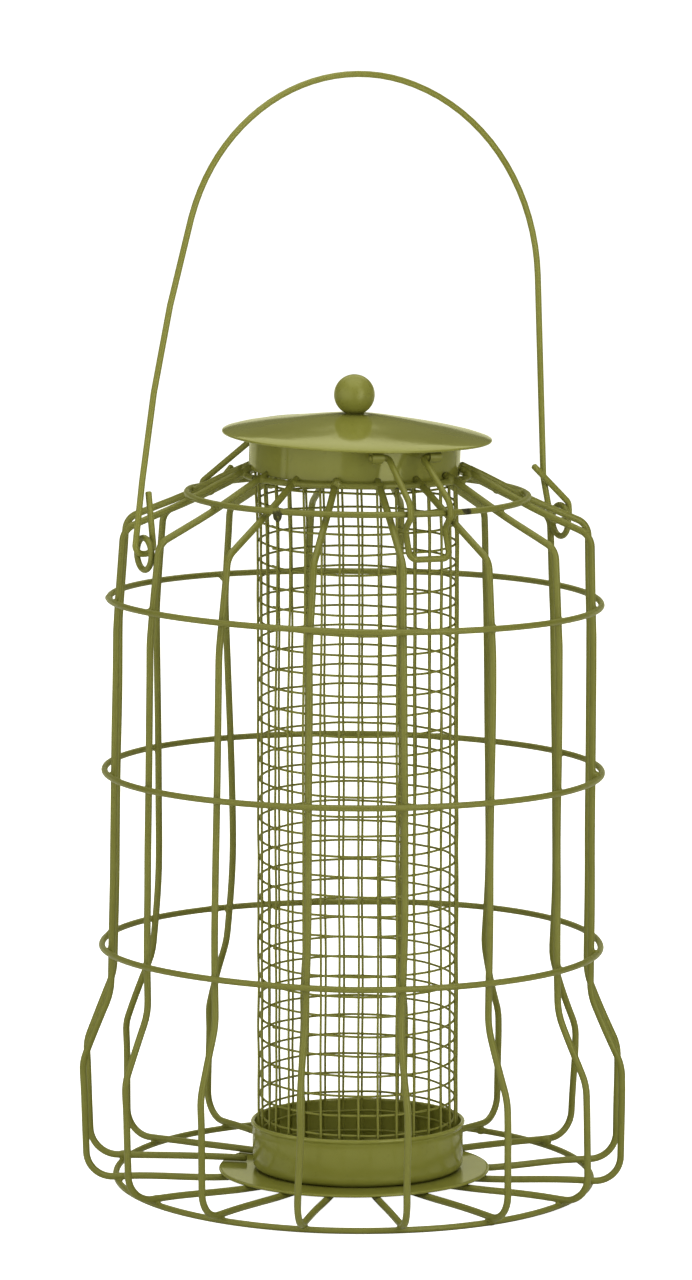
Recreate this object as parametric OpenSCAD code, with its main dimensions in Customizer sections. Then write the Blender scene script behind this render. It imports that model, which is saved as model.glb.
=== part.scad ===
// Caged hanging feeder: a mesh tube for nuts inside a cage of bent ribs,
// with a hinged lid, a wire latch and a swinging carrying handle.
// Millimetres, +Z up, origin on the axis at the plane the feeder stands on.
// Azimuth 0 points to the front (-Y) and 90 to the right (+X).

/* [Wire sizes] */
// Diameter of the cage ribs
rib_wire = 2.3; // [2.1:0.1:2.5]
// Diameter of the hoops, handle, latch and hinge wire
hoop_wire = 2.1; // [1.9:0.1:2.2]
// Diameter of the mesh wire
mesh_wire = 0.8; // [0.6:0.1:0.9]

/* [Cage] */
// Radius of the ring round the lid's collar
neck_r = 36.7; // [36.6:0.1:37.2]
// Height of the ring round the lid's collar
neck_z = 236.5; // [236:0.25:237]
// Radius of the ribs at the shoulder bend
shoulder_r = 76.8; // [76:0.2:77.4]
// Height of the shoulder bend
shoulder_z = 218; // [217:0.5:219]
// Radius of the ribs just above the flare
waist_r = 80.3; // [80:0.1:81]
// Height where the flare starts
waist_z = 69; // [66:1:72]
// Radius of the ribs at the widest part of the flare
flare_r = 90.4; // [88:0.1:91]
// Height of the widest part of the flare
flare_z = 43; // [41:1:46]
// Radius of the bottom bend
foot_r = 89.6; // [87:0.1:90]
// Radius of the ring on the sloping shoulder
shoulder_ring_r = 56; // [55.5:0.1:56.5]
// Height of the upper hoop
upper_hoop_z = 194.7; // [180:0.1:200]
// Height of the middle hoop
middle_hoop_z = 138.6; // [120:0.1:160]
// Height of the lower hoop
lower_hoop_z = 80.2; // [74:0.1:100]
// Radius of the ring that the feeder stands on
base_ring_r = 78.9; // [74:0.1:82]

/* [Cup and mesh] */
// Radius of the disc under the cup
disc_r = 44.9; // [42:0.1:48]
// Thickness of the disc
disc_t = 0.9; // [0.6:0.1:1.2]
// Outside radius of the cup wall
cup_r = 34.9; // [34.8:0.1:35.4]
// Height of the cup
cup_h = 15.4; // [12:0.2:18]
// Thickness of the cup's sheet
cup_t = 0.6; // [0.4:0.1:0.6]
// Spacing of the mesh wires along the tube
mesh_pitch = 6.6; // [6:0.05:8]
// Number of upright mesh wires
upright_count = 33; // [24:1:34]
// Outside radius of the mesh tube
mesh_r = 33.3; // [33:0.1:33.3]
// Height of the top end of the mesh tube
mesh_top_z = 241.4; // [240.5:0.1:241.6]

/* [Lid] */
// Radius of the lid's brim
lid_r = 44.5; // [43.5:0.1:45.5]
// Height of the top of the dome when closed
lid_top_z = 256.6; // [256.4:0.1:257]
// Rise of the dome from brim to top
lid_rise = 7.2; // [6.8:0.1:7.4]
// Thickness of the lid's sheet
lid_t = 0.8; // [0.6:0.1:1]
// Outside radius of the collar under the lid
collar_r = 34.6; // [34.5:0.05:34.7]
// Height of the collar's lower edge
collar_z = 237.6; // [237.4:0.1:238]
// Radius of the ball knob
knob_r = 6.5; // [5.5:0.1:7]
// Slope at which the closed lid rests
lid_lean = 3.5; // [2.5:0.1:3.6]

/* [Handle] */
// Height of the left eye in which the handle swings
swing_z = 214.5; // [214:0.1:215]
// How much higher the right eye is welded on
swing_rise = 2.6; // [2:0.1:2.8]
// Distance of the welded eyes from the axis
eye_at_r = 77.5; // [77.3:0.1:77.8]
// Radius of the eyes, to the middle of their wire
eye_r = 5.2; // [5:0.05:5.3]

/* [Hidden] */
rib_count = 16;
rib_step = 360 / rib_count;
first_rib = rib_step / 2;
// Gap left where one welded piece touches the next
seam = 0.02;
// How far the beads at a wire's bends stand out from the wire
bead = 0.03;
lean_towards = 46;
lean_centre = [0, 0, 239];
latch_azimuth = 23.7;
hinge_azimuth = lean_towards + 180;
// Facets of round wire, of rings, of small turned parts and of the dome's large arc
wire_facets = 24;
ring_facets = 120;
turned_facets = 48;
dome_facets = 720;

// Levels of the pieces stacked on the base ring
rib_foot_z = hoop_wire + seam + rib_wire / 2;
disc_z = rib_foot_z + rib_wire / 2 + seam;
cup_z = disc_z + disc_t + seam;
// Inside the cup the mesh's uprights stand on the rounded corner of its floor
cup_corner = 2.6;
mesh_z = cup_z + cup_corner + seam
    - sqrt(pow(cup_corner - cup_t, 2) - pow(mesh_r - cup_r + cup_corner, 2));
hoop_count = 1 + floor((mesh_top_z - mesh_z - mesh_wire) / mesh_pitch);
half_way = ceil(hoop_count / 2);

// The rib's straight slope from the neck ring to the shoulder
slope_dir = unit([shoulder_r - neck_r, shoulder_z - neck_z]);
rib_top = [neck_r, neck_z] + (hoop_wire / 2 + seam) * slope_dir;
rib_inner_r = 30;
// Radii of the rib's bends, from the shoulder down
rib_bends = [6, 60, 20, 16, 9];
upper_r = 79.3;
upper_z = 186;

// Distance from the middle of a rib's wire to that of a hoop welded on it
rib_to_hoop = rib_wire / 2 + hoop_wire / 2 + seam;
slope_foot_r = shoulder_ring_r + slope_dir[1] * rib_to_hoop;
shoulder_ring_z = rib_top[1] + (slope_foot_r - rib_top[0]) * slope_dir[1] / slope_dir[0]
    + slope_dir[0] * rib_to_hoop;

// The lid's dome is a cap of a sphere
dome_r = (lid_r * lid_r + lid_rise * lid_rise) / (2 * lid_rise);
dome_z = lid_top_z - dome_r;
collar_t = 0.6;
screw_r = 2;
screw_head_r = 3.6;
screw_head_t = 2;
screw_depth = 7;
screw_clearance = 0.05;

// The latch wire turns in two knuckles under the brim
knuckle_at_r = 38.8;
knuckle_length = 4;
knuckle_wall = 0.7;
pin_clearance = 0.06;
knuckle_r = hoop_wire / 2 + pin_clearance + knuckle_wall;
// Half the latch's width at its top and bottom corners
latch_half_w = 6;
latch_spread = 7;
// Room for the bend between a leg and its pin, and the pin's end beyond the knuckle
latch_bend_room = 2.2;
latch_pin_out = 0.6;
knuckle_end = latch_half_w + latch_bend_room + knuckle_length;
// The knuckles lie so that their outer ends just touch the sheet
knuckle_z = dome_z + sqrt(pow(dome_r - lid_t - knuckle_r - seam, 2)
    - pow(knuckle_at_r, 2) - pow(knuckle_end, 2));
// Gap between a leg and the shoulder ring
latch_gap = 0.3;
// Where each leg starts and ends its pass outside the ring, above and below it
latch_pass_up = 3;
latch_pass_down = 1;
// The kink that reaches under the ring, and the grip at the bottom
latch_kink_in = 1.8;
latch_kink_down = 5.2;
latch_grip_out = 2.4;
latch_grip_down = 14.6;
// Radii of the latch's bends from the pin to the grip
latch_bends = [1.7, 5, 2, 2.5, 2.6];

// The hinge wire's bar lies on the back of the collar, at a height of the level lid
hinge_half_w = 12;
hinge_bar_r = collar_r + hoop_wire / 2 + seam;
hinge_bar_z = 244.6;
// Half the distance between its loops, which go round the shoulder ring
hinge_spread = 14.6;
hinge_loop_r = 2.75;
hinge_slope = 44;
hinge_tail = 15.5;
// Radius of the corner between a leg and the bar, and of the loop's upper and lower bend
hinge_corner = 3;
hinge_upper_bend = 1.9;
hinge_lower_bend = 2.7;

// The handle swings on a line through two eyes, each welded beside a rib
eye_offset = asin((eye_r + hoop_wire / 2 + rib_wire / 2 + seam) / eye_at_r);
eye_rib = 6;
handle_azimuth = first_rib + (eye_rib - 1) * rib_step - eye_offset;
// Radius of a hook's bends, and half the hook's width
hook_r = 2.85;
hook_half_w = 3.5;
// Radii of the bow's bends, from the left leg to the right one
bow_bends = [480, 62.5, 71, 15];
// Radius of the last bend, where the right hook's end turns across the leg
tail_bend = 3;

function rib_name(i) = str("rib_", i < 10 ? "0" : "", i);

// Geometry helpers

function unit(v) = v / norm(v);
function azimuth(a) = [sin(a), -cos(a), 0];
// A point given by distance out along an azimuth, distance sideways and height
function place(a, out, side, z) = out * azimuth(a) + side * azimuth(a + 90) + [0, 0, z];
// Height of the underside of the lid's sheet at a radius
function dome_under(r) = dome_z + sqrt(pow(dome_r - lid_t, 2) - r * r);
// Turn of a vector about a unit axis
function spun(v, axis, angle) =
    v * cos(angle) + cross(axis, v) * sin(angle) + axis * (axis * v) * (1 - cos(angle));
// A point of the level lid, moved to where it is when the lid leans
function leant(p) = lean_centre + spun(p - lean_centre, azimuth(lean_towards + 90), lid_lean);

// Turn at corner b, and the length that its bend takes off each side
function turn(a, b, c) = acos(max(-1, min(1, unit(b - a) * unit(c - b))));
function setback(a, b, c, r) = r * tan(turn(a, b, c) / 2);

module at_azimuth(a) {
    rotate([0, 0, a - 90]) rotate([90, 0, 0]) children();
}

module lean_lid() {
    translate(lean_centre)
        rotate(lid_lean, azimuth(lean_towards + 90))
            translate(-lean_centre) children();
}

// Turns what is drawn along +Z to run from a towards b
module along(a, b) {
    v = b - a;
    translate(a) rotate([0, acos(v.z / norm(v)), atan2(v.y, v.x)]) children();
}

// The bend stops short by a hair at both ends, inside the beads that join it
module bend(a, b, c, r, d) {
    u = unit(b - a);
    w = unit(c - b);
    side = unit(w - (w * u) * u);
    n = cross(u, side);
    m = b - setback(a, b, c, r) * u + r * side;
    short = seam / r * 180 / PI;
    multmatrix([
        [-side.x, u.x, n.x, m.x],
        [-side.y, u.y, n.y, m.y],
        [-side.z, u.z, n.z, m.z]
    ])
        rotate([0, 0, short])
            rotate_extrude(angle = turn(a, b, c) - 2 * short, $fn = ring_facets)
                translate([r, 0]) circle(d = d, $fn = wire_facets);
}

// A round wire through corner points, each corner bent to its own radius.
// A bead barely wider than the wire joins each straight to the bend beside it
module wire(points, radii, d) {
    last = len(points) - 1;
    cut = [
        for (i = [0:last])
            i == 0 || i == last ? 0
                : setback(points[i - 1], points[i], points[i + 1], radii[i - 1])
    ];
    for (i = [0:last - 1]) {
        u = unit(points[i + 1] - points[i]);
        from = points[i] + cut[i] * u;
        to = points[i + 1] - cut[i + 1] * u;
        along(from, to) {
            cylinder(h = norm(to - from), d = d, $fn = wire_facets);
            if (i > 0) sphere(d / 2 + bead, $fn = wire_facets);
            if (i < last - 1)
                translate([0, 0, norm(to - from)]) sphere(d / 2 + bead, $fn = wire_facets);
        }
    }
    for (i = [1:last - 1])
        bend(points[i - 1], points[i], points[i + 1], radii[i - 1], d);
}

module ring(r, z, d) {
    translate([0, 0, z])
        rotate_extrude($fn = ring_facets) translate([r, 0]) circle(d = d, $fn = wire_facets);
}

module paint() {
    color([0.5, 0.5, 0.25]) children();
}

// Cage

module rib(i) {
    a = first_rib + (i - 1) * rib_step;
    paint() at_azimuth(a) wire([
        [rib_top[0], rib_top[1], 0],
        [shoulder_r, shoulder_z, 0],
        [upper_r, upper_z, 0],
        [waist_r, waist_z, 0],
        [flare_r, flare_z, 0],
        [foot_r, rib_foot_z, 0],
        [rib_inner_r, rib_foot_z, 0]
    ], rib_bends, rib_wire);
}

// Radius of the rib at a height between the upper bend and the waist
function rib_r(z) = z > upper_z
    ? upper_r + (shoulder_r - upper_r) * (z - upper_z) / (shoulder_z - upper_z)
    : waist_r + (upper_r - waist_r) * (z - waist_z) / (upper_z - waist_z);

module hoop(z) {
    paint() ring(rib_r(z) + rib_to_hoop, z, hoop_wire);
}

module neck_ring() {
    paint() ring(neck_r, neck_z, hoop_wire);
}

module shoulder_ring() {
    paint() ring(shoulder_ring_r, shoulder_ring_z, hoop_wire);
}

module base_ring() {
    paint() ring(base_ring_r, hoop_wire / 2, hoop_wire);
}

module base_disc() {
    paint() translate([0, 0, disc_z]) cylinder(h = disc_t, r = disc_r, $fn = ring_facets);
}

module food_cup() {
    lip_r = 0.7;
    lip_out = 0.6;
    paint() translate([0, 0, cup_z]) rotate_extrude($fn = ring_facets) {
        difference() {
            union() {
                square([cup_r - cup_corner, cup_corner]);
                translate([cup_r - cup_corner, cup_corner]) circle(cup_corner, $fn = wire_facets);
                translate([0, cup_corner]) square([cup_r, cup_h - cup_corner]);
            }
            union() {
                translate([0, cup_t]) square([cup_r - cup_corner, cup_corner]);
                translate([cup_r - cup_corner, cup_corner]) circle(cup_corner - cup_t, $fn = wire_facets);
                translate([0, cup_corner]) square([cup_r - cup_t, cup_h]);
            }
        }
        translate([cup_r + lip_out - lip_r, cup_h]) circle(lip_r, $fn = wire_facets);
    }
}

module mesh_uprights() {
    for (i = [0:upright_count - 1])
        paint() rotate([0, 0, i * 360 / upright_count])
            translate([mesh_r - mesh_wire / 2, 0, mesh_z])
                cylinder(h = mesh_top_z - mesh_z, d = mesh_wire, $fn = 16);
}

// The mesh hoops from one to another, counted down from the top of the tube
module mesh_hoops(first, last) {
    top = mesh_top_z - mesh_wire / 2;
    for (i = [first:last])
        paint() ring(mesh_r - mesh_wire * 1.5 - seam, top - i * mesh_pitch, mesh_wire);
}

// Eyes that the handle's hooks pass through, welded to the side of a rib

module handle_eye(a, z) {
    paint() at_azimuth(a) translate([eye_at_r, z, 0]) rotate([0, 90, 0])
        rotate_extrude($fn = ring_facets) translate([eye_r, 0]) circle(d = hoop_wire, $fn = wire_facets);
}

// Lid

module lid_cap() {
    bore_r = screw_r + screw_clearance;
    paint() lean_lid() rotate_extrude($fn = ring_facets) difference() {
        intersection() {
            translate([0, dome_z]) circle(dome_r, $fn = dome_facets);
            translate([bore_r, dome_z]) square([lid_r - bore_r, dome_r]);
        }
        translate([0, dome_z]) circle(dome_r - lid_t, $fn = dome_facets);
    }
}

module lid_collar() {
    top = dome_under(collar_r) - seam;
    paint() lean_lid() translate([0, 0, collar_z]) difference() {
        cylinder(h = top - collar_z, r = collar_r, $fn = ring_facets);
        translate([0, 0, -1])
            cylinder(h = top - collar_z + 2, r = collar_r - collar_t, $fn = ring_facets);
    }
}

module knob() {
    seat = 0.6;
    paint() lean_lid() translate([0, 0, lid_top_z + seam]) difference() {
        translate([0, 0, knob_r - seat]) sphere(knob_r, $fn = 2 * turned_facets);
        translate([0, 0, -knob_r]) cube(2 * knob_r, center = true);
        translate([0, 0, -1])
            cylinder(h = screw_depth + 1.5, r = screw_r + screw_clearance, $fn = turned_facets);
    }
}

// The screw comes up through the lid into the ball
module knob_screw() {
    head_top = dome_under(screw_head_r) - seam;
    slot_w = 1;
    paint() lean_lid() {
        translate([0, 0, head_top - screw_head_t]) difference() {
            cylinder(h = screw_head_t, r = screw_head_r, $fn = turned_facets);
            cube([2 * screw_head_r + 1, slot_w, slot_w * 2], center = true);
        }
        translate([0, 0, head_top - 0.1])
            cylinder(h = lid_top_z + screw_depth - head_top, r = screw_r, $fn = turned_facets);
    }
}

// One wire: a bar welded on the collar, two legs, and a loop round the shoulder ring
// at the end of each leg
module hinge_wire() {
    loop_s = sqrt(pow(shoulder_ring_r, 2) - pow(hinge_spread, 2));
    down = [cos(hinge_slope), -sin(hinge_slope)];
    out = [sin(hinge_slope), cos(hinge_slope)];
    middle = [loop_s, shoulder_ring_z];
    over = middle + hinge_loop_r * (out + down);
    under = middle + hinge_loop_r * (down - out);
    tip = under - hinge_tail * down;
    half = [
        leant(place(hinge_azimuth, hinge_bar_r, hinge_half_w, hinge_bar_z)),
        for (p = [over, under, tip]) place(hinge_azimuth, p[0], hinge_spread, p[1])
    ];
    other = [
        leant(place(hinge_azimuth, hinge_bar_r, -hinge_half_w, hinge_bar_z)),
        for (p = [over, under, tip]) place(hinge_azimuth, p[0], -hinge_spread, p[1])
    ];
    paint() wire(
        [other[3], other[2], other[1], other[0], half[0], half[1], half[2], half[3]],
        [
            hinge_lower_bend, hinge_upper_bend, hinge_corner,
            hinge_corner, hinge_upper_bend, hinge_lower_bend
        ],
        hoop_wire
    );
}

// Latch

function knuckle_point(side) = leant(place(latch_azimuth, knuckle_at_r, side, knuckle_z));

module latch_knuckle(side) {
    from = side * (latch_half_w + latch_bend_room);
    to = from + side * knuckle_length;
    paint() along(knuckle_point(from), knuckle_point(to)) difference() {
        cylinder(h = knuckle_length, r = knuckle_r, $fn = turned_facets);
        translate([0, 0, -1])
            cylinder(h = knuckle_length + 2, r = hoop_wire / 2 + pin_clearance, $fn = turned_facets);
    }
}

// A U of wire. Its ends turn in the knuckles, its legs go down outside the
// shoulder ring, and a kink in each leg reaches back under the ring
module latch_wire() {
    ring_s = sqrt(pow(shoulder_ring_r, 2) - pow(latch_spread, 2));
    reach = hoop_wire + latch_gap;
    pin = knuckle_end + latch_pin_out;
    leg = [
        [ring_s + reach, latch_pass_up],
        [ring_s + reach, -latch_pass_down],
        [ring_s - latch_kink_in, -latch_kink_down],
        [ring_s + latch_grip_out, -latch_grip_down]
    ];
    left = [for (p = leg) place(latch_azimuth, p[0], -latch_spread, shoulder_ring_z + p[1])];
    right = [for (p = leg) place(latch_azimuth, p[0], latch_spread, shoulder_ring_z + p[1])];
    paint() wire(
        [
            knuckle_point(-pin), knuckle_point(-latch_half_w),
            left[0], left[1], left[2], left[3],
            right[3], right[2], right[1], right[0],
            knuckle_point(latch_half_w), knuckle_point(pin)
        ],
        [for (r = latch_bends) r, for (i = [len(latch_bends) - 1:-1:0]) latch_bends[i]],
        hoop_wire
    );
}

// Handle: one wire with a hook through each eye. Points are given along the swing
// line, up from the base and forwards

function handle_point(p) = place(handle_azimuth, p[0], -p[2], p[1]);

module handle() {
    right_z = swing_z + swing_rise;
    points = [
        // Left hook, its open end inwards
        [-75.9, 234.6, 0],
        [-eye_at_r + hook_half_w, swing_z, 0],
        [-eye_at_r - hook_half_w, swing_z, 0],
        // The bow
        [-72.9, 280.8, 0],
        [-40.4, 386.1, 0],
        [66.8, 346.7, 0],
        [70.9, right_z + 15, 0],
        // Right hook, its open end crossing in front of the leg
        [eye_at_r - hook_half_w, right_z, 0],
        [eye_at_r + hook_half_w, right_z, 0.3],
        [eye_at_r + 2.6, right_z + 6, 0.9],
        [64.9, right_z + 19.3, 3.9]
    ];
    paint() wire(
        [for (p = points) handle_point(p)],
        [hook_r, hook_r, for (r = bow_bends) r, hook_r, hook_r, tail_bend],
        hoop_wire
    );
}

rib(1);  // rib_01
rib(2);  // rib_02
rib(3);  // rib_03
rib(4);  // rib_04
rib(5);  // rib_05
rib(6);  // rib_06
rib(7);  // rib_07
rib(8);  // rib_08
rib(9);  // rib_09
rib(10);  // rib_10
rib(11);  // rib_11
rib(12);  // rib_12
rib(13);  // rib_13
rib(14);  // rib_14
rib(15);  // rib_15
rib(16);  // rib_16
neck_ring();
shoulder_ring();
hoop(upper_hoop_z);  // upper_hoop
hoop(middle_hoop_z);  // middle_hoop
hoop(lower_hoop_z);  // lower_hoop
base_ring();
base_disc();
food_cup();
mesh_uprights();
mesh_hoops(0, half_way - 1);  // mesh_hoops_upper
mesh_hoops(half_way, hoop_count - 1);  // mesh_hoops_lower
handle_eye(handle_azimuth + 180, swing_z);  // handle_eye_left
handle_eye(handle_azimuth, swing_z + swing_rise);  // handle_eye_right
lid_cap();
lid_collar();
knob();
knob_screw();
hinge_wire();
latch_knuckle(-1);  // latch_knuckle_left
latch_knuckle(1);  // latch_knuckle_right
latch_wire();
handle();
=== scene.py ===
import math

import bmesh
import bpy
import numpy as np
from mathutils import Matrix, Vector, noise


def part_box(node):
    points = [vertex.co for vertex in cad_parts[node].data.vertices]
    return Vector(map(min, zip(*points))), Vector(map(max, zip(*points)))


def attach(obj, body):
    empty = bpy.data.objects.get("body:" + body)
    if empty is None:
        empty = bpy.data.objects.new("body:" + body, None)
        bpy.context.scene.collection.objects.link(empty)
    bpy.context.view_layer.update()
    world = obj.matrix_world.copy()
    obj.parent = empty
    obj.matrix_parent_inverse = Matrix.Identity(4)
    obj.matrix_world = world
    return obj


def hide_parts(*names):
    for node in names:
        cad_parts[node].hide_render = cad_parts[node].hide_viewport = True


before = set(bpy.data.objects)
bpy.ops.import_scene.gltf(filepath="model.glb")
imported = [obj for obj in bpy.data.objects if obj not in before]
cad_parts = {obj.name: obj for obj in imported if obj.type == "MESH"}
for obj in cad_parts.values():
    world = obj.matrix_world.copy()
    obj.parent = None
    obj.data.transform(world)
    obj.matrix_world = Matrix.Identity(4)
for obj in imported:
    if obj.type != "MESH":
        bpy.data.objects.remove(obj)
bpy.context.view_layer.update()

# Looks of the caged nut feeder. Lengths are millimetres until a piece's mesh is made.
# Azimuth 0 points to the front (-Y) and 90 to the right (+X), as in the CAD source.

MM = 0.001
UP = np.array([0.0, 0.0, 1.0])
rng = np.random.default_rng(7)


# ---------------------------------------------------------------- vectors and frame

def unit(v):
    return v / np.linalg.norm(v)


def azimuth(a):
    return np.array([math.sin(math.radians(a)), -math.cos(math.radians(a)), 0.0])


def place(a, out, side, z):
    """A point given by distance out along an azimuth, distance sideways and height."""
    return out * azimuth(a) + side * azimuth(a + 90) + z * UP


def spun(v, axis, angle):
    """Vectors turned about a unit axis by an angle in degrees."""
    c, s = math.cos(math.radians(angle)), math.sin(math.radians(angle))
    v = np.asarray(v, float)
    return v * c + np.cross(axis, v) * s + np.multiply.outer(v @ axis, axis) * (1 - c)


def box_mm(node):
    low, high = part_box(node)
    return np.array(low) / MM, np.array(high) / MM


def ring_mm(node):
    """(radius, height, wire) of a level ring of round wire."""
    low, high = box_mm(node)
    wire = high[2] - low[2]
    return (high[0] - low[0] - wire) / 2, (low[2] + high[2]) / 2, wire


def eased(x, knots, values):
    """A smooth curve through values at knots."""
    x = np.asarray(x, float)
    i = np.clip(np.searchsorted(knots, x) - 1, 0, len(knots) - 2)
    low, high = np.asarray(knots, float)[i], np.asarray(knots, float)[i + 1]
    t = np.clip((x - low) / (high - low), 0, 1)
    a, b = np.asarray(values, float)[i], np.asarray(values, float)[i + 1]
    return a + (b - a) * t * t * (3 - 2 * t)


def wobble(p, scale, seed):
    """Smooth noise in -1..1 at a point, with features of about `scale` mm."""
    return noise.noise(Vector(np.asarray(p) / scale) + Vector((seed * 7.3, seed * 3.1, seed * 5.7)))


# ---------------------------------------------------------------- driving dimensions

SEAM = 0.02
NECK_R, NECK_Z, HOOP_WIRE = ring_mm("neck_ring")
SHOULDER_RING_R, SHOULDER_RING_Z, _ = ring_mm("shoulder_ring")
BASE_RING_R, BASE_RING_Z, _ = ring_mm("base_ring")
DISC_LOW, DISC_HIGH = box_mm("base_disc")
CUP_LOW, CUP_HIGH = box_mm("food_cup")
RIB_LOW = box_mm("rib_01")[0]
RIB_WIRE = DISC_LOW[2] - RIB_LOW[2] - SEAM
RIB_COUNT = 16
RIB_STEP = 360 / RIB_COUNT
RIB_FOOT_Z = RIB_LOW[2] + RIB_WIRE / 2

# The rib's corners as (radius, height), and the radii of its bends from the shoulder down
SHOULDER = (76.8, 218.0)
UPPER = (79.3, 186.0)
WAIST = (80.3, 69.0)
FLARE = (90.4, 43.0)
FOOT_R = 89.6
RIB_INNER_R = 30.0
RIB_BENDS = (6, 60, 20, 16, 9)

LID_R = 44.5
LID_RISE = 7.2
LID_TOP_Z = 256.6
LID_T = 0.8
LEAN = 3.5
LEAN_TOWARDS = 46.0
LEAN_CENTRE = np.array([0, 0, 239.0])
DOME_R = (LID_R ** 2 + LID_RISE ** 2) / (2 * LID_RISE)
DOME_Z = LID_TOP_Z - DOME_R
COLLAR_R = 34.6
COLLAR_Z = 237.6
COLLAR_T = 0.6
KNOB_R = 6.5

LATCH_AZIMUTH = 23.7
HINGE_AZIMUTH = LEAN_TOWARDS + 180
SWING_Z = 214.5
SWING_RISE = 2.6
EYE_AT_R = 77.5
EYE_R = 5.2


def leant(p, towards=LEAN_TOWARDS, lean=LEAN):
    """Points of the level lid, moved to where they are when the lid leans."""
    return LEAN_CENTRE + spun(np.asarray(p, float) - LEAN_CENTRE, azimuth(towards + 90), lean)


def dome_under(r):
    return DOME_Z + math.sqrt((DOME_R - LID_T) ** 2 - r * r)


def out_of_true(points):
    """The cage is hand-made: its rings tilt, it leans sideways and its feet aren't level."""
    true = np.array(points, float)
    p = true.copy()
    x, y, z = true[..., 0], true[..., 1], true[..., 2]
    p[..., 2] += x * eased(z, [0, 80, 140, 195, 232, 244], [-.0067, -.0053, -.0072, -.0142, -.0128, 0])
    p[..., 2] += y * eased(z, [195, 218, 230, 240], [0.0, 0.008, 0.013, 0.0])
    feet = eased(np.hypot(x, y), [44, 76], [0.0, 1.0]) * eased(z, [0, 20, 60], [1.0, 0.8, 0.0])
    p[..., 2] += feet * np.maximum(0, 1.7 - 0.003 * x + 0.022 * y)
    p[..., 0] += eased(z, [0, 30, 60, 110, 180, 230, 244], [-.7, -.9, -1.7, -1.1, -.4, .6, 0])
    # near the lid's hinge the ring is nearly true, or the hinge's loops would bind on it
    hinge = place(HINGE_AZIMUTH, SHOULDER_RING_R, 0, SHOULDER_RING_Z)
    share = eased(np.linalg.norm(true - hinge, axis=-1), [18, 36], [0.25, 1.0])
    return true + (p - true) * share[..., None]


# ---------------------------------------------------------------- meshes

def bent(points, radii, straight=4.0, arc=7.0):
    """The centre line of a wire: straight runs, and an arc at each inner corner."""
    points = [np.asarray(p, float) for p in points]
    path = [points[0]]

    def run_to(end):
        start = path[-1]
        count = max(1, int(np.linalg.norm(end - start) / straight))
        path.extend(start + (end - start) * i / count for i in range(1, count + 1))

    for i in range(1, len(points) - 1):
        a, b, c, r = points[i - 1], points[i], points[i + 1], radii[i - 1]
        u, w = unit(b - a), unit(c - b)
        turn = math.acos(np.clip(u @ w, -1, 1))
        side = unit(w - (w @ u) * u)
        start = b - r * math.tan(turn / 2) * u
        centre = start + r * side
        run_to(start)
        count = max(3, math.ceil(math.degrees(turn) / arc))
        for k in range(1, count + 1):
            t = turn * k / count
            path.append(centre - r * math.cos(t) * side + r * math.sin(t) * u)
    run_to(points[-1])
    return np.array(path)


def sweep(path, radius, sides=16, closed=False, end=0.3):
    """The skin of a round wire along a path. radius is one number, or one for each point."""
    path = np.asarray(path, float)
    n = len(path)
    radius = np.broadcast_to(np.asarray(radius, float), (n,)).copy()
    if not closed:
        # a cut end with its edge slightly rounded
        first, last = unit(path[0] - path[1]), unit(path[-1] - path[-2])
        path = np.vstack([path[0], path[0] - end * first, path[1:-1], path[-1] - end * last, path[-1]])
        radius = np.concatenate([[radius[0] - end], radius, [radius[-1] - end]])
        n += 2
    if closed:
        tangent = np.roll(path, -1, 0) - np.roll(path, 1, 0)
    else:
        tangent = np.gradient(path, axis=0)
        tangent[0], tangent[1] = path[2] - path[1], path[2] - path[1]
        tangent[-1], tangent[-2] = path[-2] - path[-3], path[-2] - path[-3]
    tangent /= np.linalg.norm(tangent, axis=1)[:, None]
    normal = np.cross(tangent[0], UP)
    if np.linalg.norm(normal) < 0.1:
        normal = np.cross(tangent[0], np.array([1.0, 0.0, 0.0]))
    angles = np.arange(sides) * 2 * math.pi / sides
    vertices = []
    for i in range(n):
        if closed:
            normal = np.cross(tangent[i], UP)
        normal = unit(normal - (normal @ tangent[i]) * tangent[i])
        other = np.cross(tangent[i], normal)
        circle = np.outer(np.cos(angles), normal) + np.outer(np.sin(angles), other)
        vertices.append(path[i] + radius[i] * circle)
    faces = []
    for i in range(n if closed else n - 1):
        a, b = i * sides, (i + 1) % n * sides
        faces += [(a + k, a + (k + 1) % sides, b + (k + 1) % sides, b + k) for k in range(sides)]
    if not closed:
        faces.append(tuple(range(sides))[::-1])
        faces.append(tuple(range((n - 1) * sides, n * sides)))
    return np.vstack(vertices), faces


def lathe(profile, segments=160):
    """A closed profile of (radius, height) points turned about the axis."""
    profile = np.asarray(profile, float)
    n = len(profile)
    turns = np.arange(segments) * 2 * math.pi / segments
    vertices = np.array([[r * math.cos(t), r * math.sin(t), z] for t in turns for r, z in profile])
    faces = []
    for i in range(segments):
        a, b = i * n, (i + 1) % segments * n
        faces += [(a + k, b + k, b + (k + 1) % n, a + (k + 1) % n) for k in range(n)]
    return vertices, faces


def arc_points(centre, r, start, end, count):
    """Points on an arc in the (radius, height) plane, angles in degrees."""
    angles = np.radians(np.linspace(start, end, count))
    return [(centre[0] + r * math.cos(t), centre[1] + r * math.sin(t)) for t in angles]


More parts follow.
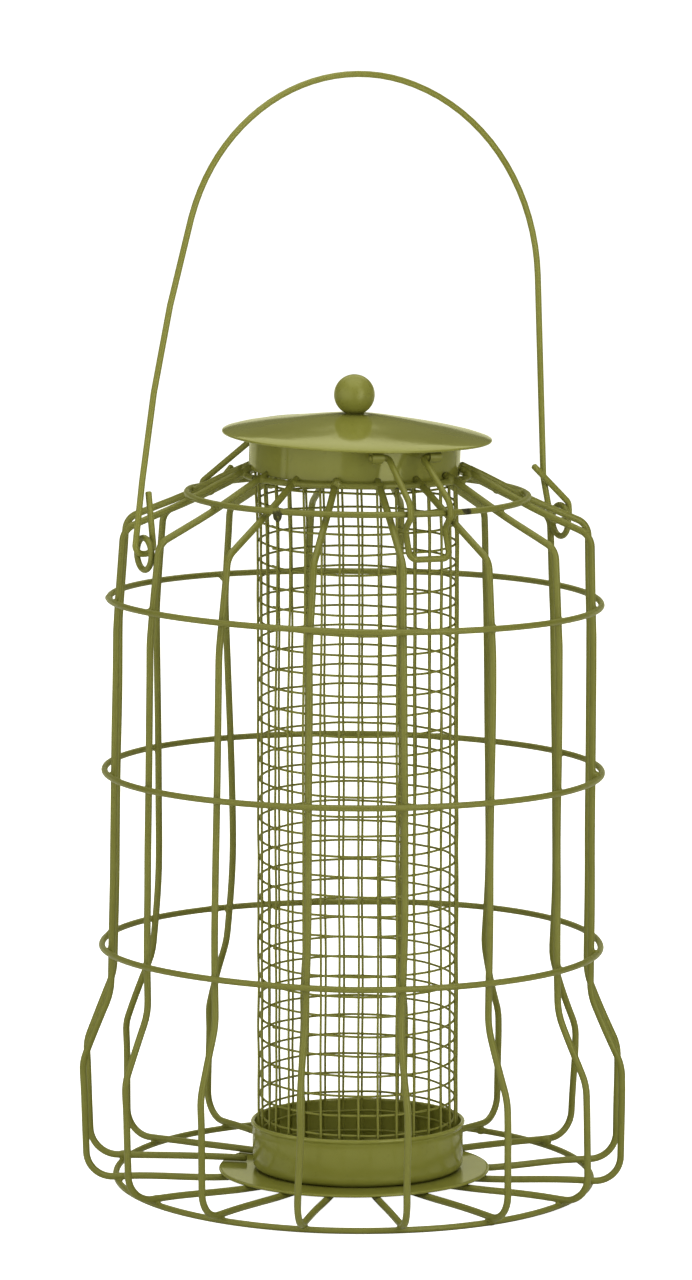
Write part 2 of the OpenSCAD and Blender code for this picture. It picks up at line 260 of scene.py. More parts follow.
def piece(name, shells, material, body, slot, *nodes):
    """One mesh object from closed shells, riding on a body and standing for its CAD nodes."""
    vertices, faces, start = [], [], 0
    for shell_vertices, shell_faces in shells:
        vertices.append(np.asarray(shell_vertices))
        faces += [tuple(k + start for k in face) for face in shell_faces]
        start += len(shell_vertices)
    mesh = bpy.data.meshes.new(name)
    mesh.from_pydata((np.vstack(vertices) * MM).tolist(), [], faces)
    mesh.polygons.foreach_set("use_smooth", [True] * len(mesh.polygons))
    mesh.materials.append(material)
    shape = bpy.data.objects.new(name, mesh)
    bpy.context.scene.collection.objects.link(shape)
    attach(shape, body)
    if nodes:
        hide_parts(*nodes)
    return shape


def ball_directions(subdivisions):
    shape = bmesh.new()
    bmesh.ops.create_icosphere(shape, subdivisions=subdivisions, radius=1)
    directions = np.array([v.co[:] for v in shape.verts])
    faces = [tuple(v.index for v in f.verts) for f in shape.faces]
    shape.free()
    return directions, faces


BALL, BALL_FACES = ball_directions(4)


def smooth_min(a, b, k):
    h = np.clip(0.5 + 0.5 * (b - a) / k, 0, 1)
    return b * (1 - h) + a * h - k * h * (1 - h)


def weld(middle, rods, k, lump=None, reach=3.4, hide=0.05):
    """The fillet where wires are welded. rods is (point, direction, radius) of each wire.
    Away from the weld the skin stays just inside the wires."""
    t = np.linspace(0, reach, 48)
    points = middle + BALL[:, None, :] * t[None, :, None]
    distance = None
    for point, direction, radius in rods:
        v = points - point
        v = v - (v @ direction)[..., None] * direction
        d = np.linalg.norm(v, axis=-1) - radius
        distance = d if distance is None else smooth_min(distance, d, k)
    if lump is not None:
        centre, radius = lump
        distance = smooth_min(distance, np.linalg.norm(points - centre, axis=-1) - radius, 0.8)
    outside = distance > -hide
    outside[:, -1] = True
    outside[:, 0] = False
    first = outside.argmax(axis=1)
    rows = np.arange(len(BALL))
    d0, d1 = distance[rows, first - 1] + hide, distance[rows, first] + hide
    share = np.where(d1 > d0 + 1e-9, np.clip(-d0 / np.where(d1 > d0 + 1e-9, d1 - d0, 1), 0, 1), 1)
    length = t[first - 1] + share * (t[first] - t[first - 1])
    return middle + BALL * length[:, None], BALL_FACES


# ---------------------------------------------------------------- materials

OLIVE = (0.265, 0.265, 0.045)
OLIVE_LIGHT = (0.31, 0.315, 0.07)
# dark colour of dust specks, and of the weld marks, which are partly burnt paint and partly painted
# shade
SPECK_BURN_AND_SHADE = (0.016, 0.015, 0.008)


def add(tree, kind, settings=(), **inputs):
    """A node with its settings and inputs. An input is a value or another node's output."""
    node = tree.nodes.new(kind)
    for name, value in dict(settings).items():
        setattr(node, name, value)
    for name, value in inputs.items():
        key = int(name[1:]) if name[0] == "_" else name.replace("_", " ")
        socket = node.inputs[key]
        if isinstance(value, bpy.types.NodeSocket):
            tree.links.new(value, socket)
        else:
            socket.default_value = value
    return node


def math_node(tree, operation, a, b=0.0):
    return add(tree, "ShaderNodeMath", {"operation": operation}, _0=a, _1=b).outputs[0]


def spread(tree, value, low, high, to_low, to_high):
    """value mapped from low..high to to_low..to_high, and held at the ends."""
    node = add(tree, "ShaderNodeMapRange", _0=value, _1=low, _2=high, _3=to_low, _4=to_high)
    return node.outputs[0]


def mixed(tree, share, a, b):
    node = tree.nodes.new("ShaderNodeMix")
    node.data_type = "RGBA"
    for socket, value in ((node.inputs[0], share), (node.inputs[6], a), (node.inputs[7], b)):
        if isinstance(value, bpy.types.NodeSocket):
            tree.links.new(value, socket)
        else:
            socket.default_value = value if isinstance(value, float) else (*value, 1)
    return node.outputs[2]


def enamel(name, colour, light, roughness, peel, marks=()):
    """Glossy baked paint: cloudy colour, dust specks, orange peel, painted shade in crevices, and dark
    marks at (point, radius), partly burnt paint and partly painted shade.
    """
    material = bpy.data.materials.new(name)
    material.use_nodes = True
    tree = material.node_tree
    shader = tree.nodes["Principled BSDF"]
    place_mm = add(tree, "ShaderNodeVectorMath", {"operation": "SCALE"},
                   _0=tree.nodes.new("ShaderNodeTexCoord").outputs["Object"], Scale=1 / MM).outputs[0]
    cloud = add(tree, "ShaderNodeTexNoise", Vector=place_mm, Scale=0.06, Detail=3.0).outputs[0]
    fleck = add(tree, "ShaderNodeTexNoise", Vector=place_mm, Scale=0.55, Detail=2.0).outputs[0]
    tint = mixed(tree, spread(tree, cloud, 0.35, 0.65, 0.0, 0.55), colour, light)
    tint = mixed(tree, spread(tree, fleck, 0.62, 0.72, 0.0, 0.22), tint, tuple(c * 0.62 for c in colour))
    speck = add(tree, "ShaderNodeTexVoronoi", Vector=place_mm, Scale=0.16).outputs["Distance"]
    tint = mixed(tree, spread(tree, speck, 0.018, 0.035, 0.55, 0.0), tint, SPECK_BURN_AND_SHADE)
    rough = spread(tree, fleck, 0.3, 0.7, roughness * 0.85, roughness * 1.25)
    # dark marks at welds: partly burnt paint, partly painted shade where wires cross and under them
    for point, radius in marks:
        away = add(tree, "ShaderNodeVectorMath", {"operation": "DISTANCE"},
                   _0=place_mm, _1=tuple(point)).outputs["Value"]
        ragged = math_node(tree, "ADD", away, spread(tree, fleck, 0.2, 0.8, -0.4 * radius, 0.4 * radius))
        dark_mark = spread(tree, ragged, radius * 0.7, radius, 0.92, 0.0)
        tint = mixed(tree, dark_mark, tint, SPECK_BURN_AND_SHADE)
        rough = math_node(tree, "ADD", rough, math_node(tree, "MULTIPLY", dark_mark, 0.3))
    # painted shade: ambient occlusion darkens the paint towards a darker copy of its colour in crevices
    # and where parts meet
    crevice_shade = add(tree, "ShaderNodeAmbientOcclusion", {"samples": 4}, Distance=2.2 * MM).outputs["AO"]
    tint = mixed(tree, spread(tree, crevice_shade, 0.2, 0.75, 0.5, 0.0), tint, tuple(c * 0.4 for c in colour))
    tree.links.new(tint, shader.inputs["Base Color"])
    tree.links.new(rough, shader.inputs["Roughness"])
    orange_peel = add(tree, "ShaderNodeTexNoise", Vector=place_mm, Scale=1.1, Detail=2.0).outputs[0]
    bump = add(tree, "ShaderNodeBump", Strength=peel, Distance=0.06 * MM, Height=orange_peel)
    tree.links.new(bump.outputs[0], shader.inputs["Normal"])
    shader.inputs["Specular IOR Level"].default_value = 0.6
    shader.inputs["Specular Tint"].default_value = (1.0, 1.0, 0.55, 1)
    return material


# ---------------------------------------------------------------- cage

OLIVE_DARK = tuple(c * 0.76 for c in OLIVE)
# Dark places at welds of the cage, as (azimuth, radius, height, size): partly burnt paint and partly
# painted shade where wires cross and under them
WELD_BURNS_AND_SHADE = [
    (333, 56.5, 228.6, 2.3), (37.5, 56, 230.6, 2.0), (39, 56, 230.2, 1.5), (348, 79, 2.5, 1.6),
    (281, 82, 193, 1.3), (64, 84, 121, 0.9), (121, 79, 190, 1.6), (213, 62, 4, 2.2),
    (297, 37.5, 236.6, 1.5), (262, 40, 235, 1.7), (20, 37, 235.4, 1.1), (326, 81.5, 81, 1.0),
]
weld_burns_and_shade = [(out_of_true(place(a, r, 0, z)), size) for a, r, z, size in WELD_BURNS_AND_SHADE]
CAGE_LIGHT = tuple(c * 0.8 for c in OLIVE_LIGHT)
CAGE_PAINT = enamel("cage_paint", OLIVE_DARK, CAGE_LIGHT, 0.34, 0.35, weld_burns_and_shade)
MESH_PAINT = enamel("mesh_paint", tuple(c * 0.9 for c in OLIVE), OLIVE, 0.36, 0.2)
SHEET_PAINT = enamel("sheet_paint", OLIVE, OLIVE_LIGHT, 0.11, 0.1)
KNOB_PAINT = enamel("knob_paint", OLIVE, OLIVE_LIGHT, 0.3, 0.2)
FITTING_PAINT = enamel("fitting_paint", OLIVE_DARK, OLIVE, 0.34, 0.35)
HANDLE_PAINT = enamel("handle_paint", OLIVE, OLIVE_LIGHT, 0.32, 0.35)

SLOPE = unit(np.array([SHOULDER[0] - NECK_R, SHOULDER[1] - NECK_Z]))
RIB_TOP = np.array([NECK_R, NECK_Z]) + (HOOP_WIRE / 2 + SEAM) * SLOPE
# How far some ribs stand sideways of their places at the foot, flare, waist and shoulder
SWAY_Z = (8, 42, 100, 205)
SWAY = {
    0: (-0.5, 0.0, 1.0, 0.0),
    1: (-0.5, -0.5, -0.5, 0.0),
    2: (2.5, 1.5, -0.5, 0.0),
    5: (1.0, -1.0, -3.5, -1.0),
    6: (0.5, 0.0, -2.5, -0.5),
    7: (0.0, -0.5, -2.0, 0.0),
    8: (0.5, -1.0, -0.5, 0.5),
    9: (0.0, -1.5, -4.5, 0.0),
    10: (3.5, 2.5, -2.5, 1.0),
    13: (3.0, 3.0, 0.5, 0.0),
    14: (1.5, 2.0, 0.5, 1.0),
    15: (-0.5, 1.0, 1.5, 1.0),
}
NECK_SWAY_Z = 236.5
# How far the ends of the ribs at the sides ride up on the neck ring, how much lower the waist
# of the ribs in front is, and how high the legs that lie on the plate are
TOP_LIFT = 2.0
WAIST_DROP = 3.4
ON_PLATE = 3.2
ON_PLATE_FROM, ON_PLATE_TO = 110, 265
CUP_CLEAR_R = 36.3


def rib_azimuth(i):
    return (i + 0.5) * RIB_STEP


def sway(i, z):
    """Sideways error of a rib at a height. It dies out towards the neck ring."""
    if i not in SWAY:
        return 0.0
    return float(eased(z, SWAY_Z + (NECK_SWAY_Z,), SWAY[i] + (0.0,)))


def rib_path(i):
    """Centre line of a rib. Ribs in front have lower shoulders than those at the sides."""
    a = rib_azimuth(i)
    front = max(0.0, math.cos(math.radians(a)))
    side = abs(math.sin(math.radians(a)))
    drop = -2.0 * front ** 2 + 1.0 * side ** 4
    waist_z = WAIST[1] - WAIST_DROP * np.clip(0.5 + math.cos(math.radians(a)), 0, 1)
    # the legs of the ribs at the back lie on the plate, those in front are under it
    on_plate = ON_PLATE_FROM < a < ON_PLATE_TO
    inner_r = CUP_CLEAR_R if on_plate else RIB_INNER_R
    corners = [
        tuple(RIB_TOP), (SHOULDER[0] + drop, SHOULDER[1] + 1.3 * drop), UPPER,
        (WAIST[0], waist_z), FLARE, (FOOT_R, RIB_FOOT_Z), (inner_r, RIB_FOOT_Z),
    ]
    flat = bent([np.array([r, 0, z]) for r, z in corners], RIB_BENDS)
    path = np.array([place(a, p[0], 0, p[2]) for p in flat])
    for k, p in enumerate(path):
        r = np.hypot(p[0], p[1])
        reach = min(1, r / 60)
        if on_plate and p[2] < 20:
            path[k] += ON_PLATE * eased(r, [44, 80], [1.0, 0.0]) * UP
        path[k] += sway(i, p[2]) * reach * azimuth(a + 90)
        # the ends of the ribs at the sides ride up on the neck ring
        if p[2] > 200:
            path[k] += TOP_LIFT * side ** 4 * eased(r, [NECK_R, 62], [1.0, 0.0]) * UP
        free = 0.25 * min(1, abs(p[2] - RIB_FOOT_Z) / 20)
        path[k] += free * wobble(p, 45, i) * azimuth(a + 90) + 0.15 * wobble(p, 30, i + 40) * azimuth(a)
    return out_of_true(path)


def ring_path(r, z, seed, twist=0.0, count=220, uneven=0.15):
    """Centre line of a ring. A twisted one is higher by `twist` at its front left and back right."""
    path = []
    for k in range(count):
        a = 360 * k / count
        p = azimuth(a)
        up = twist * max(0, -math.sin(math.radians(2 * a))) + uneven * wobble(p, 0.9, seed + 9)
        path.append(place(a, r + uneven * wobble(p, 0.8, seed), 0, z + up))
    return out_of_true(np.array(path))


def wire_ring(r, z, wire, seed, joint_azimuth, twist, swell=0.22):
    """A ring of wire, a little thicker where its ends are welded."""
    path = ring_path(r, z, seed, twist)
    joint = path[int(joint_azimuth / 360 * len(path)) % len(path)]
    near = np.exp(-(np.linalg.norm(path - joint, axis=1) / 1.6) ** 2)
    return sweep(path, wire / 2 * (1 + swell * near), closed=True)


rib_paths = [rib_path(i) for i in range(RIB_COUNT)]
for i, path in enumerate(rib_paths):
    name = f"rib_{i + 1:02d}"
    piece(f"bent_{name}", [sweep(path, RIB_WIRE / 2)], CAGE_PAINT, "cage", "cage_paint", name)

RINGS = {
    "neck_ring": (NECK_R, NECK_Z, 1, 205, 0.0),
    "shoulder_ring": (SHOULDER_RING_R, SHOULDER_RING_Z, 2, 150, 0.0),
    "upper_hoop": (*ring_mm("upper_hoop")[:2], 3, 273, 0.9),
    "middle_hoop": (*ring_mm("middle_hoop")[:2], 4, 160, 0.0),
    "lower_hoop": (*ring_mm("lower_hoop")[:2], 5, 215, 0.9),
    "base_ring": (BASE_RING_R, BASE_RING_Z, 6, 190, 0.0),
}
for name, (r, z, seed, joint, twist) in RINGS.items():
    shell = wire_ring(r, z, HOOP_WIRE, seed, joint, twist)
    piece(f"round_{name}", [shell], CAGE_PAINT, "cage", "cage_paint", name)


# the ribs next to the lid's hinge loops, where no weld may stand in the way
HINGE_RIBS = (9, 10)


def nearest(path, point):
    """The point of a path nearest to a point, and the path's direction there."""
    k = int(np.argmin(np.linalg.norm(path - point, axis=1)))
    k = min(max(k, 1), len(path) - 2)
    before, after = path[k - 1], path[k + 1]
    direction = unit(after - before)
    return before + ((point - before) @ direction) * direction, direction


for name, (r, z, seed, _, twist) in RINGS.items():
    shells = []
    around = ring_path(r, z, seed, twist)
    for i, rib in enumerate(rib_paths):
        guess = out_of_true(place(rib_azimuth(i), r, sway(i, z), z))
        on_rib, along_rib = nearest(rib, guess)
        on_ring, along_ring = nearest(around, on_rib)
        rods = [(on_rib, along_rib, RIB_WIRE / 2), (on_ring, along_ring, HOOP_WIRE / 2)]
        middle = (on_rib + on_ring) / 2
        lump = None
        if name == "neck_ring" or rng.random() < 0.25:
            spot = middle + (0.9 + 0.5 * rng.random()) * unit(rng.normal(size=3))
            lump = (spot, 0.9 + 0.5 * rng.random())
        fillet = 0.9 + 0.5 * rng.random()
        if name == "shoulder_ring" and i in HINGE_RIBS:
            fillet, lump = 0.3, None
        shells.append(weld(middle, rods, fillet, lump))
    piece(f"welds_{name}", shells, CAGE_PAINT, "cage", "cage_paint")


def blob(centre, radii, seed):
    """A lumpy drop of weld metal, thicker upwards."""
    shape = []
    for d in BALL:
        stretch = 1 + 0.25 * noise.noise(Vector(d * 1.6) + Vector((seed, 0, 0)))
        shape.append(centre + d * np.array(radii) * stretch)
    return np.array(shape), BALL_FACES


# Drops of weld metal: a dark one under the shoulder ring, others at a hoop and the neck ring,
# each as its place (azimuth, radius, sideways, height) and its half sizes
drops = [((333, 56.4, 0, 229.0), (1.5, 1.3, 2.2)), ((272, 80.6, 0, 194.2), (1.0, 0.9, 1.0)),
         ((64, 37.9, 0, 236.3), (1.4, 1.2, 1.1)), ((300, 37.6, 0, 236.4), (1.3, 1.3, 1.2))]
blobs = [blob(out_of_true(place(*at)), radii, k * 1.7) for k, (at, radii) in enumerate(drops)]
piece("weld_drops", blobs, CAGE_PAINT, "cage", "cage_paint")


# ---------------------------------------------------------------- disc and cup

def edge_round(r, low, high, count=6):
    """The rounded outer edge of a sheet, from its upper face down to its lower one."""
    half = (high - low) / 2
    return arc_points((r - half, low + half), half, 90, -90, count)


def base_disc():
    r, low, high = DISC_HIGH[0], DISC_LOW[2], DISC_HIGH[2]
    rings = np.linspace(0.5, r - 1.5, 12)
    profile = [(x, high) for x in rings] + edge_round(r, low, high) + [(x, low) for x in rings[::-1]]
    vertices, faces = lathe(profile)
    for v in vertices:
        v[2] += 0.12 * wobble(v, 30, 3) * np.linalg.norm(v[:2]) / r
    vertices[:, 0] -= 0.5
    return vertices, faces


def food_cup():
    outer, corner, sheet = 34.9, 2.6, 0.6
    low, rim = CUP_LOW[2], CUP_HIGH[2] - 0.7
    inner_corner = corner - sheet
    profile = [(0.5, low)] + [(x, low) for x in np.linspace(6, outer - corner - 2, 5)]
    profile += arc_points((outer - corner, low + corner), corner, -90, 0, 8)
    profile += [(outer, z) for z in np.linspace(low + corner + 1, rim - 1.2, 6)]
    profile += arc_points((outer - 0.1, rim), 0.7, -70, 215, 12)
    profile += [(outer - sheet, z) for z in np.linspace(rim - 1.2, low + corner + 1, 6)]
    profile += arc_points((outer - corner, low + corner), inner_corner, 0, -90, 8)
    profile += [(x, low + sheet) for x in np.linspace(outer - corner - 2, 6, 5)] + [(0.5, low + sheet)]
    vertices, faces = lathe(profile, 200)
    for v in vertices:
        push = 0.10 * wobble(v, 16, 5)
        v[:2] *= 1 + push / 35
    vertices[:, 0] += 0.7
    return vertices, faces


piece("plate", [base_disc()], SHEET_PAINT, "cage", "sheet_paint", "base_disc")
piece("cup", [food_cup()], SHEET_PAINT, "cage", "sheet_paint", "food_cup")


# ---------------------------------------------------------------- mesh tube

MESH_WIRE = 0.8
# Hoops every 6.6 mm, and uprights every 6.35 mm round the tube, from the seam on
MESH_PITCH, UPRIGHT_STEP, UPRIGHTS = 6.6, 11.03, 33
SEAM_UPRIGHT = -54.5
TUBE_TILT = (-0.013, 0.032)
TUBE_LOW, TUBE_HIGH = box_mm("mesh_uprights")
TUBE_R, TUBE_TOP, TUBE_FOOT = TUBE_HIGH[0], TUBE_HIGH[2], TUBE_LOW[2]


def tube_point(a, z, inwards):
    """A point of the tube, which stands right of the axis and isn't quite round."""
    p = place(a, TUBE_R - inwards, 0, z)
    p += 0.22 * wobble(p, 14, 11) * azimuth(a)
    p[0] += 0.6 * (1 - eased(z, [212, 236], [0.0, 1.0]))
    return p


def nut_mesh():
    shells = []
    top = TUBE_TOP - MESH_WIRE / 2
    for n, level in enumerate(np.arange(top, TUBE_FOOT, -MESH_PITCH)):
        start = SEAM_UPRIGHT - 2.5 - 1.5 * rng.random()
        end = SEAM_UPRIGHT + 360 + 0.5 + 2.0 * rng.random()
        path = []
        for a in np.linspace(start, end, 130):
            p = tube_point(a, level, MESH_WIRE * 1.4)
            p[2] += TUBE_TILT[0] * p[0] + TUBE_TILT[1] * p[1] + 0.4 * wobble(p, 17, 12)
            p[2] = min(p[2], top)
            # the cut ends pass each other at the seam
            loose = math.exp(-((a - start) / 4) ** 2)
            path.append(p + 0.5 * loose * azimuth(a) + 0.9 * (n % 2 - 0.5) * loose * UP)
        shells.append(sweep(np.array(path), MESH_WIRE / 2, sides=8, end=0.1))
    heights = np.linspace(TUBE_FOOT, TUBE_TOP, 60)
    for k in range(UPRIGHTS):
        a = SEAM_UPRIGHT + k * UPRIGHT_STEP
        near_seam = min(k, UPRIGHTS - 1 - k)
        drift = (2.2 if k < UPRIGHTS / 2 else -2.8) * max(0, 1 - near_seam / 4)
        path = []
        for z in heights:
            p = place(a, 33, 0, z)
            bend = drift * eased(z, [150, 225], [0.0, 1.0]) + 0.8 * wobble(p, 40, 13)
            path.append(tube_point(a + bend, z, MESH_WIRE / 2))
        shells.append(sweep(np.array(path), MESH_WIRE / 2, sides=8, end=0.1))
    return shells


piece("nut_mesh", nut_mesh(), MESH_PAINT, "cage", "mesh_paint",
      "mesh_uprights", "mesh_hoops_upper", "mesh_hoops_lower")


# ---------------------------------------------------------------- lid

# The cap sits a little more level than the collar, its flanks are straighter than a sphere's
# and its brim curls up towards the front
CAP_LEAN = 2.8
CAP_LEAN_TOWARDS = 55
FLANK_DROP, FLANK_FROM, FLANK_WIDTH = 0.8, 5, 36
CURL_TOWARDS, CURL_FROM = 35, 22
CURL_ALL, CURL_FRONT = 0.1, 0.5


def lid_cap():
    bore = 2.1
    edge = math.asin(LID_R / DOME_R)
    top = np.linspace(math.asin(bore / DOME_R), edge - 0.5 / DOME_R, 26)
    under = np.linspace(edge - 0.5 / DOME_R, math.asin(bore / DOME_R), 26)
    profile = [(DOME_R * math.sin(t), DOME_Z + DOME_R * math.cos(t)) for t in top]
    middle_r = DOME_R - LID_T / 2
    rim_t = edge - 0.5 / DOME_R
    rim = (middle_r * math.sin(rim_t), DOME_Z + middle_r * math.cos(rim_t))
    tilt = 90 - math.degrees(rim_t)
    profile += arc_points(rim, LID_T / 2, tilt, tilt - 180, 7)[1:-1]
    profile += [((DOME_R - LID_T) * math.sin(t), DOME_Z + (DOME_R - LID_T) * math.cos(t)) for t in under]
    vertices, faces = lathe(profile, 220)
    for v in vertices:
        flat = np.array([v[0], v[1], 0])
        r = np.linalg.norm(flat)
        share = min(1, r / 15)
        v[2] += share * (0.10 * wobble(flat, 22, 21) + 0.03 * wobble(flat, 6, 22))
        v[2] -= FLANK_DROP * math.sin(math.pi * np.clip((r - FLANK_FROM) / FLANK_WIDTH, 0, 1))
        front = max(0.0, float(flat @ azimuth(CURL_TOWARDS)) / max(r, 1))
        outer = np.clip((r - CURL_FROM) / (LID_R - CURL_FROM), 0, 1)
        v[2] += (CURL_ALL + CURL_FRONT * front ** 1.5) * outer ** 1.3
    return leant(vertices, CAP_LEAN_TOWARDS, CAP_LEAN), faces


def lid_collar():
    top = dome_under(COLLAR_R) + 0.1
    inner = COLLAR_R - COLLAR_T
    profile = [(COLLAR_R, z) for z in np.linspace(top, COLLAR_Z + 0.4, 10)]
    profile += arc_points((COLLAR_R - COLLAR_T / 2, COLLAR_Z + 0.3), COLLAR_T / 2, 0, -180, 6)
    profile += [(inner, z) for z in np.linspace(COLLAR_Z + 0.4, top, 10)]
    vertices, faces = lathe(profile[::-1], 200)
    for v in vertices:
        v[:2] *= 1 + 0.12 * wobble(v, 14, 23) / 35
    vertices[:, 0] -= 0.5
    return leant(vertices), faces


def knob():
    seat, ball_r, off_middle = 0.6, KNOB_R + 0.2, 1.5
    centre = LID_TOP_Z + ball_r - seat
    half = math.degrees(math.acos((ball_r - seat) / ball_r))
    profile = arc_points((0, centre), ball_r, 89.5, -90 + half, 40)
    profile += [(profile[-1][0] + 0.15, LID_TOP_Z - 0.25), (0.05, LID_TOP_Z - 0.25)]
    vertices, faces = lathe(profile[::-1], 96)
    vertices[:, 0] -= off_middle
    return leant(vertices), faces


piece("dome", [lid_cap()], SHEET_PAINT, "lid", "sheet_paint", "lid_cap")
piece("collar", [lid_collar()], SHEET_PAINT, "lid", "sheet_paint", "lid_collar")
piece("ball", [knob()], KNOB_PAINT, "lid", "knob_paint", "knob")


# ---------------------------------------------------------------- hinge, latch and handle

def hinge_wire():
    half_w, out_w, bar_z, loop_r, tail = 12, 14.6, 244.6, 2.75, 15.5
    bar_r = COLLAR_R + HOOP_WIRE / 2 + SEAM
    slope = math.radians(44)
    loop_s = math.sqrt(SHOULDER_RING_R ** 2 - out_w ** 2)
    down = np.array([math.cos(slope), -math.sin(slope)])
    out = np.array([math.sin(slope), math.cos(slope)])
    middle = np.array([loop_s, SHOULDER_RING_Z])
    over, under = middle + loop_r * (out + down), middle + loop_r * (down - out)
    side = {}
    for sign in (-1, 1):
        corners = (over, under, under - tail * down)
        loop = [place(HINGE_AZIMUTH, p[0], sign * out_w, p[1]) for p in corners]
        bar_end = leant(place(HINGE_AZIMUTH, bar_r, sign * half_w, bar_z))
        side[sign] = [bar_end, *out_of_true(np.array(loop))]
    points = side[-1][::-1] + side[1]
    return sweep(bent(points, (2.7, 1.9, 3, 3, 1.9, 2.7), 2.0), HOOP_WIRE / 2)


def latch_wire():
    half_w, spread_w, knuckle_at, knuckle_z = 6, 7, 38.8, 247.863
    ring_s = math.sqrt(SHOULDER_RING_R ** 2 - spread_w ** 2)
    reach = HOOP_WIRE + 0.3
    leg = [(ring_s + reach, 3), (ring_s + reach, -1), (ring_s - 1.8, -5.2), (ring_s + 2.4, -14.6)]
    pin = half_w + 2.2 + 4 + 0.6
    side = {}
    for sign in (-1, 1):
        top = [leant(place(LATCH_AZIMUTH, knuckle_at, sign * w, knuckle_z)) for w in (pin, half_w)]
        rest = [place(LATCH_AZIMUTH, r, sign * spread_w, SHOULDER_RING_Z + h) for r, h in leg]
        side[sign] = top + list(out_of_true(np.array(rest)))
    points = side[-1] + side[1][::-1]
    bends = (1.7, 5, 2, 2.5, 2.6)
    return sweep(bent(points, bends + bends[::-1], 2.0), HOOP_WIRE / 2)


EYE_OFFSET = math.degrees(math.asin((EYE_R + HOOP_WIRE / 2 + RIB_WIRE / 2 + SEAM) / EYE_AT_R))
HANDLE_AZIMUTH = 5.5 * RIB_STEP - EYE_OFFSET


def handle():
    hook_w, hook_r = 3.5, 2.85
    right_z = SWING_Z + SWING_RISE
    points = [
        (-75.9, 234.6, 0), (-EYE_AT_R + hook_w, SWING_Z, 0), (-EYE_AT_R - hook_w, SWING_Z, 0),
        (-72.9, 280.8, 0), (-40.4, 386.1, 0), (66.8, 346.7, 0), (70.9, right_z + 15, 0),
        (EYE_AT_R - hook_w, right_z, 0), (EYE_AT_R + hook_w, right_z, 0.3),
        (EYE_AT_R + 2.6, right_z + 6, 0.9), (64.9, right_z + 19.3, 3.9),
    ]
    bends = (hook_r, hook_r, 480, 62.5, 71, 15, hook_r, hook_r, 3)
    path = bent([place(HANDLE_AZIMUTH, s, -f, z) for s, z, f in points], bends, 3.0, 4.0)
    return sweep(path, HOOP_WIRE / 2)


piece("hinge", [hinge_wire()], FITTING_PAINT, "lid", "fitting_paint", "hinge_wire")
piece("latch", [latch_wire()], FITTING_PAINT, "latch", "fitting_paint", "latch_wire")
piece("bail", [handle()], HANDLE_PAINT, "handle", "handle_paint", "handle")


def handle_eye(a, z):
    """An upright wire ring whose middle is on the line that the handle swings about."""
    centre, axis = place(a, EYE_AT_R, 0, z), azimuth(a)
    steps, sides = 60, 14
    angles = np.arange(sides) * 2 * math.pi / sides
    vertices, faces = [], []
    for i in range(steps):
        turn = 2 * math.pi * i / steps
        out = math.cos(turn) * UP + math.sin(turn) * azimuth(a + 90)
        middle = centre + EYE_R * out
        vertices += [middle + HOOP_WIRE / 2 * (math.cos(t) * out + math.sin(t) * axis) for t in angles]
        x, y = i * sides, (i + 1) % steps * sides
        faces += [(x + k, x + (k + 1) % sides, y + (k + 1) % sides, y + k) for k in range(sides)]
    return np.array(vertices), faces


eye_left = handle_eye(HANDLE_AZIMUTH + 180, SWING_Z)
eye_right = handle_eye(HANDLE_AZIMUTH, SWING_Z + SWING_RISE)
piece("eye_left", [eye_left], CAGE_PAINT, "cage", "cage_paint", "handle_eye_left")
piece("eye_right", [eye_right], CAGE_PAINT, "cage", "cage_paint", "handle_eye_right")

for name in ("knob_screw", "latch_knuckle_left", "latch_knuckle_right"):
    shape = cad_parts[name]
    shape.data.materials.clear()
    shape.data.materials.append(FITTING_PAINT)


# ---------------------------------------------------------------- studio

def camera():
    """At the height, distance and tilt from which the feeder is seen."""
    lens = bpy.data.cameras.new("camera")
    lens.sensor_width = 36
    lens.lens = 183.2
    lens.clip_end = 200
    view = bpy.data.objects.new("camera", lens)
    bpy.context.scene.collection.objects.link(view)
    view.location = (-3.2 * MM, -2123 * MM, 460 * MM)
    view.rotation_euler = (math.radians(90 - 7.469), 0, 0)
    bpy.context.scene.camera = view


def softbox(name, a, out, z, width, height, radiance, aim=130, colour=(1, 1, 1)):
    """A rectangular light at an azimuth, a distance out and a height, facing the feeder at a height."""
    light = bpy.data.lights.new(name, "AREA")
    light.shape = "RECTANGLE"
    light.size, light.size_y = width * MM, height * MM
    light.energy = radiance * math.pi * light.size * light.size_y
    light.color = colour
    shape = bpy.data.objects.new(name, light)
    bpy.context.scene.collection.objects.link(shape)
    spot = place(a, out, 0, z)
    shape.location = Vector(spot * MM)
    shape.rotation_euler = Vector(spot - aim * UP).to_track_quat("Z", "Y").to_euler()
    shape.visible_camera = False


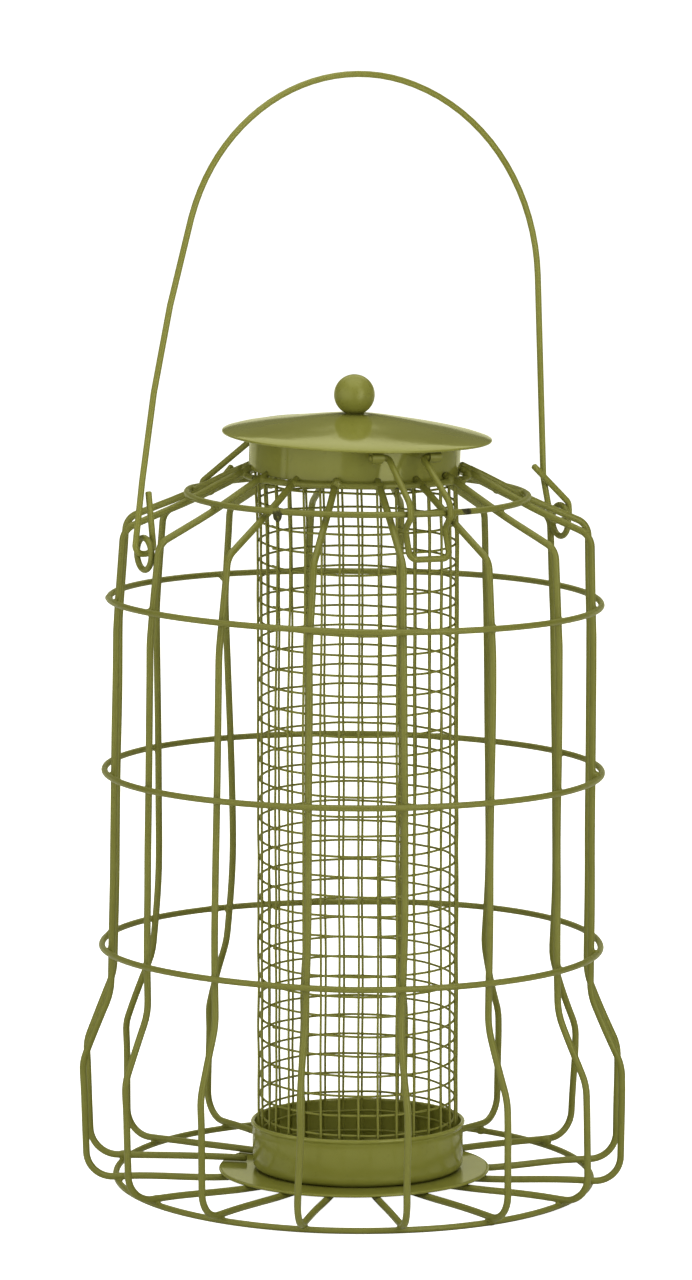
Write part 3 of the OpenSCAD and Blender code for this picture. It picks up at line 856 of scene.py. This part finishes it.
def studio():
    size = 14000 * MM
    mesh = bpy.data.meshes.new("floor")
    corners = [(-size, -size, 0), (size, -size, 0), (size, size, 0), (-size, size, 0)]
    mesh.from_pydata(corners, [], [(0, 1, 2, 3)])
    floor = bpy.data.objects.new("floor", mesh)
    bpy.context.scene.collection.objects.link(floor)
    paper = bpy.data.materials.new("paper")
    paper.use_nodes = True
    shader = paper.node_tree.nodes["Principled BSDF"]
    shader.inputs["Base Color"].default_value = (0.85, 0.85, 0.85, 1)
    shader.inputs["Roughness"].default_value = 0.9
    shader.inputs["Specular IOR Level"].default_value = 0.0
    shader.inputs["Emission Color"].default_value = (1, 1, 1, 1)
    # only the camera sees the paper's own glow, so it doesn't light the feeder
    seen = paper.node_tree.nodes.new("ShaderNodeLightPath").outputs["Is Camera Ray"]
    paper.node_tree.links.new(seen, shader.inputs["Emission Strength"])
    mesh.materials.append(paper)

    world = bpy.data.worlds.new("studio")
    bpy.context.scene.world = world
    world.use_nodes = True
    tree = world.node_tree
    tree.nodes.clear()
    direction = tree.nodes.new("ShaderNodeTexCoord").outputs["Generated"]
    height = add(tree, "ShaderNodeSeparateXYZ", _0=direction).outputs[2]
    glow = tree.nodes.new("ShaderNodeValToRGB")
    tree.links.new(height, glow.inputs[0])
    stops = [(0.0, 0.3), (0.05, 0.25), (0.1, 0.12), (0.45, 0.15), (1.0, 0.4)]
    ramp = glow.color_ramp
    while len(ramp.elements) < len(stops):
        ramp.elements.new(0.5)
    for element, (at, level) in zip(ramp.elements, stops):
        element.position = at
        element.color = (level, level, level * 0.7, 1)
    around = add(tree, "ShaderNodeBackground", Color=glow.outputs[0], Strength=1.0).outputs[0]
    white = add(tree, "ShaderNodeBackground", Color=(1, 1, 1, 1), Strength=1.0).outputs[0]
    seen = tree.nodes.new("ShaderNodeLightPath").outputs["Is Camera Ray"]
    both = tree.nodes.new("ShaderNodeMixShader")
    tree.links.new(seen, both.inputs[0])
    tree.links.new(around, both.inputs[1])
    tree.links.new(white, both.inputs[2])
    output = tree.nodes.new("ShaderNodeOutputWorld")
    tree.links.new(both.outputs[0], output.inputs[0])

    softbox("front_left", -50, 1000, 420, 1500, 900, 0.85, aim=300)
    softbox("front_right", 38, 1000, 420, 500, 900, 2.3, aim=300)
    softbox("overhead", 0, 200, 1500, 1600, 1600, 1.0)
    # the lid's near half mirrors the rear box, and the plate mirrors the low card
    warm = (1, 1, 0.6)
    softbox("rear_top", 180, 1250, 1420, 1800, 940, 1.0, aim=250, colour=warm)
    softbox("rear_low", 180, 1500, 215, 3000, 430, 0.5, aim=215, colour=warm)
    scene = bpy.context.scene
    scene.view_settings.view_transform = "Standard"
    scene.view_settings.look = "None"


camera()
studio()
